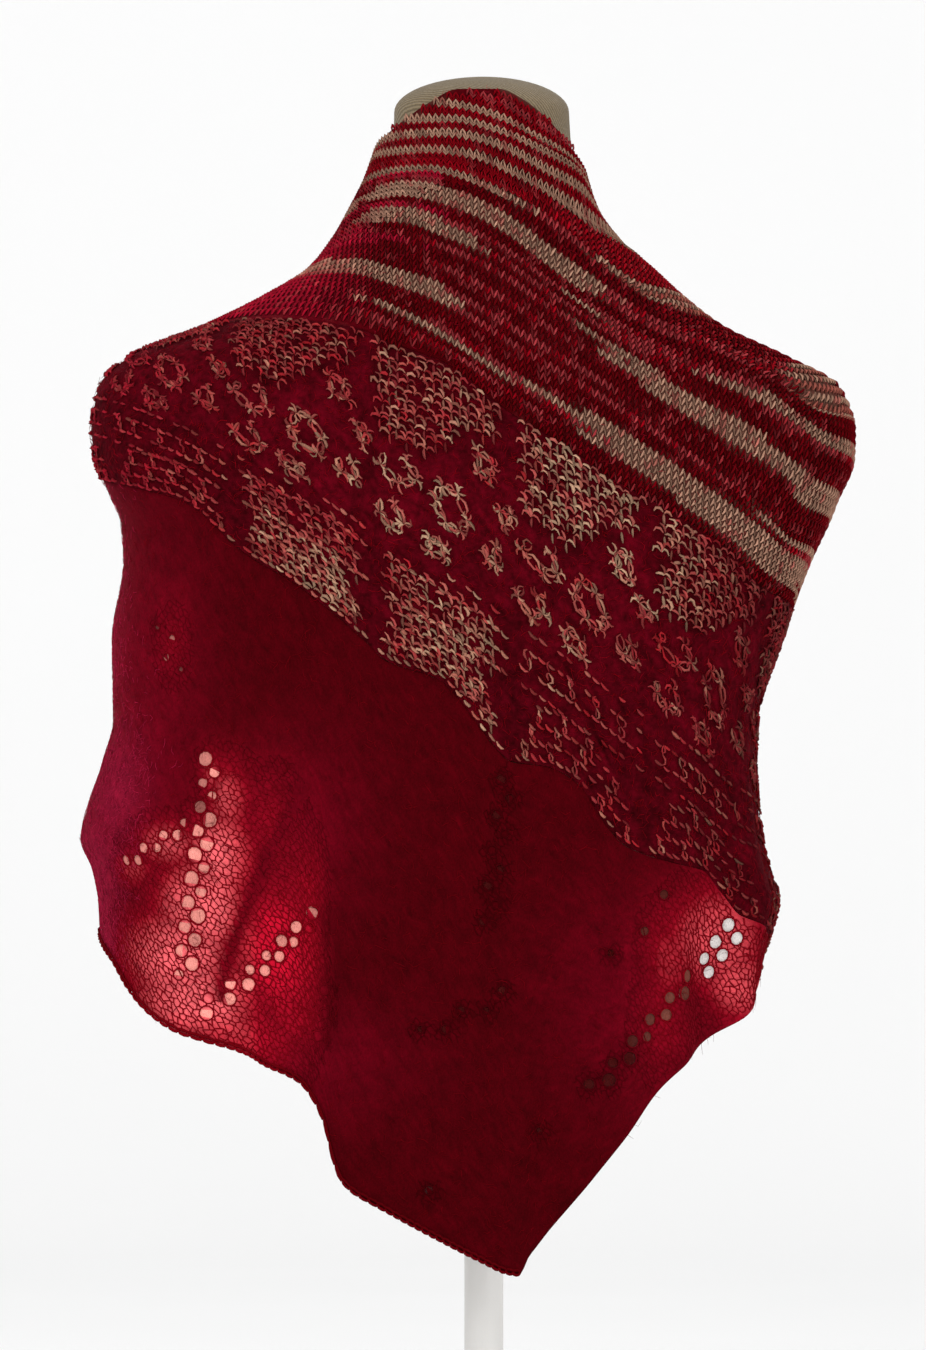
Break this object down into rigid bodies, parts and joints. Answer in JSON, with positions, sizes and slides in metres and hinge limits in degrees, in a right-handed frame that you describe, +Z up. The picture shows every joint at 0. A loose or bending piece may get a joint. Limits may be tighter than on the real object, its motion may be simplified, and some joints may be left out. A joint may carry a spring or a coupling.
{
  "type": "triangle scarf on a limbless dress form",
  "caption": "Hand-knitted triangle scarf with garter collar, stripes, mosaic band and open mohair point, draped on a limbless dress form with a round base.",
  "frame": {"origin": "middle of the bounding box's underside, on the base plate's underside", "axes": "+Z up, -Y is the back of the scarf, which the picture shows, +X the picture's right"},
  "size_m": [0.4349, 0.3, 0.7914],
  "materials": {
    "garter_yarn": "tan and red garter ridges, matt wool",
    "striped_yarn": "variegated tan, pink and red stocking stitch, matt wool",
    "mosaic_yarn": "tan and pink slipped stitches over dark red, matt wool",
    "mohair": "dark red mohair net with a soft halo",
    "jersey": "beige jersey, matt",
    "painted_wood": "pale satin paint",
    "painted_metal": "pale satin powder coat"
  },
  "bodies": {
    "root": {"collar_garter": "garter_yarn", "striped_section": "striped_yarn", "mosaic_section": "mosaic_yarn", "mohair_left": "mohair", "mohair_right": "mohair", "bindoff_edge": "mohair", "dress_form": "jersey", "form_end_cap": "painted_wood", "stand_pole": "painted_metal", "stand_base": "painted_metal"}
  },
  "joints": []
}
